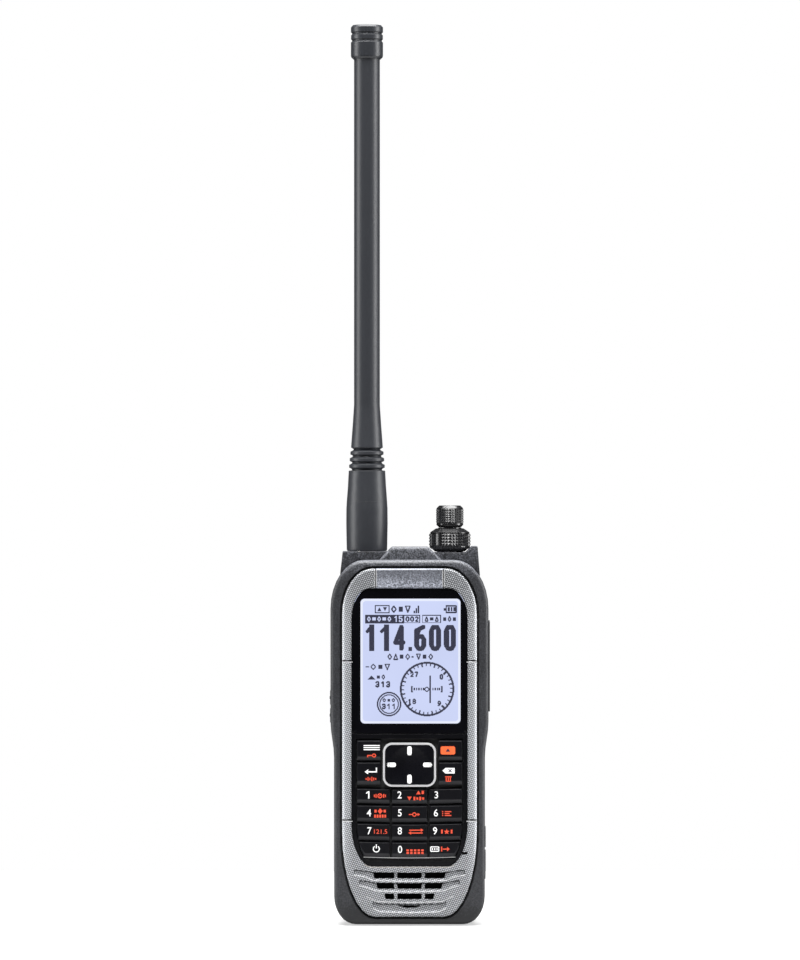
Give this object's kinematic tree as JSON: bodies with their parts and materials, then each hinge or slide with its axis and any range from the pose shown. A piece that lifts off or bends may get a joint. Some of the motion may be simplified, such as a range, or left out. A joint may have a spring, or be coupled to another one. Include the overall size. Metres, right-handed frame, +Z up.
{
  "type": "handheld airband radio",
  "caption": "Handheld airband radio: slab case with a tall display, direction pad and number keys, speaker slots, stacked top knobs and a long, thick whip antenna.",
  "frame": {"origin": "middle of the width on the flat base, at the foot of the back plate", "axes": "+X to the right of the face as its user sees it, -Y out of the face, +Z up the body towards the antenna"},
  "size_m": [0.063, 0.0327, 0.3541],
  "materials": {
    "case_plastic": "fine speckled texture",
    "chassis_plastic": "smooth satin",
    "bezel_paint": "silver, fine woven dot texture",
    "nameplate_paint": "dark metallic satin",
    "lens_acrylic": "polished, printed black border",
    "panel_black": "gloss",
    "mat_rubber": "matt",
    "lcd_glass": "lit pale blue",
    "lcd_ink": "dark segments",
    "diffuser": "translucent white",
    "circuit_board": "solder mask",
    "speaker_steel": "plated",
    "cone_black": "matt film",
    "mesh_black": "woven mesh",
    "mic_boot": "matt",
    "seal_rubber": "silicone",
    "nickel": "nickel plated",
    "control_metal": "plated",
    "connector_black": "moulded",
    "contact_brass": "gold plated",
    "screw_steel": "dark plated",
    "knob_black": "satin, diamond knurl",
    "shaft_steel": "turned",
    "key_black": "satin",
    "pad_black": "satin",
    "pad_silver": "satin silver",
    "legend_white": "printed white",
    "legend_orange": "printed orange",
    "button_rubber": "matt",
    "flap_rubber": "matt",
    "antenna_rubber": "satin rubber",
    "antenna_cap": "satin",
    "pack_plastic": "smooth satin",
    "cell_can": "wrapped",
    "latch_black": "satin"
  },
  "bodies": {
    "radio": {"front_case": "case_plastic", "rear_chassis": "chassis_plastic", "bezel_frame": "bezel_paint", "nameplate": "nameplate_paint", "window_lens": "lens_acrylic", "keypad_frame": "panel_black", "keypad_mat": "mat_rubber", "lcd_panel": "lcd_glass", "backlight": "diffuser", "logic_board": "circuit_board", "rf_board": "circuit_board", "speaker_basket": "speaker_steel", "speaker_cone": "cone_black", "grille_mesh": "mesh_black", "microphone": "mic_boot", "main_seal": "seal_rubber", "antenna_socket": "nickel", "control_unit": "control_metal", "jack_block": "connector_black", "power_sockets": "connector_black", "terminal_block": "contact_brass", "case_screws": "screw_steel", "side_switches": "circuit_board"},
    "volume_control": {"volume_knob": "knob_black", "volume_shaft": "shaft_steel"},
    "dial_control": {"dial_knob": "knob_black", "dial_shaft": "shaft_steel"},
    "key_menu_body": {"key_menu": "key_black"},
    "key_function_body": {"key_function": "key_black"},
    "key_enter_body": {"key_enter": "key_black"},
    "key_clear_body": {"key_clear": "key_black"},
    "key_1_body": {"key_1": "key_black"},
    "key_2_body": {"key_2": "key_black"},
    "key_3_body": {"key_3": "key_black"},
    "key_4_body": {"key_4": "key_black"},
    "key_5_body": {"key_5": "key_black"},
    "key_6_body": {"key_6": "key_black"},
    "key_7_body": {"key_7": "key_black"},
    "key_8_body": {"key_8": "key_black"},
    "key_9_body": {"key_9": "key_black"},
    "key_power_body": {"key_power": "key_black"},
    "key_0_body": {"key_0": "key_black"},
    "key_memory_body": {"key_memory": "key_black"},
    "pad_gimbal": {"pad_pivot": "connector_black"},
    "pad": {"pad_cap": "pad_black", "pad_ring": "pad_silver"},
    "ptt": {"ptt_button": "button_rubber"},
    "side_upper": {"side_key_upper": "button_rubber"},
    "side_lower": {"side_key_lower": "button_rubber"},
    "jack_flap": {"jack_cover": "flap_rubber"},
    "usb_flap": {"usb_cover": "flap_rubber"},
    "power_flap": {"power_cover": "flap_rubber"},
    "antenna": {"antenna_whip": "antenna_rubber", "antenna_tip": "antenna_cap", "antenna_plug": "nickel"},
    "battery_pack": {"battery_tray": "pack_plastic", "battery_cover": "pack_plastic", "battery_cells": "cell_can"},
    "latch": {"battery_latch": "latch_black"}
  },
  "joints": [
    {"name": "key_menu_press", "type": "slide", "parent": "radio", "child": "key_menu_body", "axis": [0, 1, 0], "range_m": [0, 0.0005], "stiffness_N_per_m": 1000, "springref_m": -0.0005},
    {"name": "key_function_press", "type": "slide", "parent": "radio", "child": "key_function_body", "axis": [0, 1, 0], "range_m": [0, 0.0005], "stiffness_N_per_m": 1000, "springref_m": -0.0005},
    {"name": "key_enter_press", "type": "slide", "parent": "radio", "child": "key_enter_body", "axis": [0, 1, 0], "range_m": [0, 0.0005], "stiffness_N_per_m": 1000, "springref_m": -0.0005},
    {"name": "key_clear_press", "type": "slide", "parent": "radio", "child": "key_clear_body", "axis": [0, 1, 0], "range_m": [0, 0.0005], "stiffness_N_per_m": 1000, "springref_m": -0.0005},
    {"name": "key_1_press", "type": "slide", "parent": "radio", "child": "key_1_body", "axis": [0, 1, 0], "range_m": [0, 0.0005], "stiffness_N_per_m": 1000, "springref_m": -0.0005},
    {"name": "key_2_press", "type": "slide", "parent": "radio", "child": "key_2_body", "axis": [0, 1, 0], "range_m": [0, 0.0005], "stiffness_N_per_m": 1000, "springref_m": -0.0005},
    {"name": "key_3_press", "type": "slide", "parent": "radio", "child": "key_3_body", "axis": [0, 1, 0], "range_m": [0, 0.0005], "stiffness_N_per_m": 1000, "springref_m": -0.0005},
    {"name": "key_4_press", "type": "slide", "parent": "radio", "child": "key_4_body", "axis": [0, 1, 0], "range_m": [0, 0.0005], "stiffness_N_per_m": 1000, "springref_m": -0.0005},
    {"name": "key_5_press", "type": "slide", "parent": "radio", "child": "key_5_body", "axis": [0, 1, 0], "range_m": [0, 0.0005], "stiffness_N_per_m": 1000, "springref_m": -0.0005},
    {"name": "key_6_press", "type": "slide", "parent": "radio", "child": "key_6_body", "axis": [0, 1, 0], "range_m": [0, 0.0005], "stiffness_N_per_m": 1000, "springref_m": -0.0005},
    {"name": "key_7_press", "type": "slide", "parent": "radio", "child": "key_7_body", "axis": [0, 1, 0], "range_m": [0, 0.0005], "stiffness_N_per_m": 1000, "springref_m": -0.0005},
    {"name": "key_8_press", "type": "slide", "parent": "radio", "child": "key_8_body", "axis": [0, 1, 0], "range_m": [0, 0.0005], "stiffness_N_per_m": 1000, "springref_m": -0.0005},
    {"name": "key_9_press", "type": "slide", "parent": "radio", "child": "key_9_body", "axis": [0, 1, 0], "range_m": [0, 0.0005], "stiffness_N_per_m": 1000, "springref_m": -0.0005},
    {"name": "key_power_press", "type": "slide", "parent": "radio", "child": "key_power_body", "axis": [0, 1, 0], "range_m": [0, 0.0005], "stiffness_N_per_m": 1000, "springref_m": -0.0005},
    {"name": "key_0_press", "type": "slide", "parent": "radio", "child": "key_0_body", "axis": [0, 1, 0], "range_m": [0, 0.0005], "stiffness_N_per_m": 1000, "springref_m": -0.0005},
    {"name": "key_memory_press", "type": "slide", "parent": "radio", "child": "key_memory_body", "axis": [0, 1, 0], "range_m": [0, 0.0005], "stiffness_N_per_m": 1000, "springref_m": -0.0005},
    {"name": "pad_tilt_up_down", "type": "hinge", "parent": "radio", "child": "pad_gimbal", "pos_m": [0, -0.0139, 0.0627], "axis": [1, 0, 0], "range_deg": [-3, 3], "stiffness_Nm_per_rad": 0.15},
    {"name": "pad_tilt_left_right", "type": "hinge", "parent": "pad_gimbal", "child": "pad", "pos_m": [0, -0.0139, 0.0627], "axis": [0, 0, 1], "range_deg": [-3, 3], "stiffness_Nm_per_rad": 0.15},
    {"name": "volume_turn", "type": "hinge", "parent": "radio", "child": "volume_control", "pos_m": [0.016, 0.0035, 0.15], "axis": [0, 0, 1], "range_deg": [-280, 0]},
    {"name": "dial_turn", "type": "hinge", "parent": "radio", "child": "dial_control", "pos_m": [0.016, 0.0035, 0.16], "axis": [0, 0, 1], "continuous": true},
    {"name": "ptt_press", "type": "slide", "parent": "radio", "child": "ptt", "axis": [1, 0, 0], "range_m": [0, 0.001], "stiffness_N_per_m": 1500, "springref_m": -0.001},
    {"name": "side_upper_press", "type": "slide", "parent": "radio", "child": "side_upper", "axis": [1, 0, 0], "range_m": [0, 0.0008], "stiffness_N_per_m": 1000, "springref_m": -0.0006},
    {"name": "side_lower_press", "type": "slide", "parent": "radio", "child": "side_lower", "axis": [1, 0, 0], "range_m": [0, 0.0008], "stiffness_N_per_m": 1000, "springref_m": -0.0006},
    {"name": "jack_flap_swing", "type": "hinge", "parent": "radio", "child": "jack_flap", "pos_m": [0.03065, -0.0054, 0.1011], "axis": [0, 0, 1], "range_deg": [0, 100]},
    {"name": "usb_flap_swing", "type": "hinge", "parent": "radio", "child": "usb_flap", "pos_m": [0.02915, -0.0054, 0.034], "axis": [0, 0, 1], "range_deg": [0, 100]},
    {"name": "power_flap_swing", "type": "hinge", "parent": "radio", "child": "power_flap", "pos_m": [0.02915, -0.0054, 0.0231], "axis": [0, 0, 1], "range_deg": [0, 100]},
    {"name": "antenna_twist", "type": "hinge", "parent": "radio", "child": "antenna", "pos_m": [-0.0168, 0.0035, 0.15], "axis": [0, 0, 1], "range_deg": [0, 90]},
    {"name": "battery_slide", "type": "slide", "parent": "radio", "child": "battery_pack", "axis": [0, 1, 0], "range_m": [0, 0.022]},
    {"name": "latch_slide", "type": "slide", "parent": "battery_pack", "child": "latch", "axis": [0, 0, -1], "range_m": [0, 0.0016], "stiffness_N_per_m": 600, "springref_m": -0.001}
  ]
}
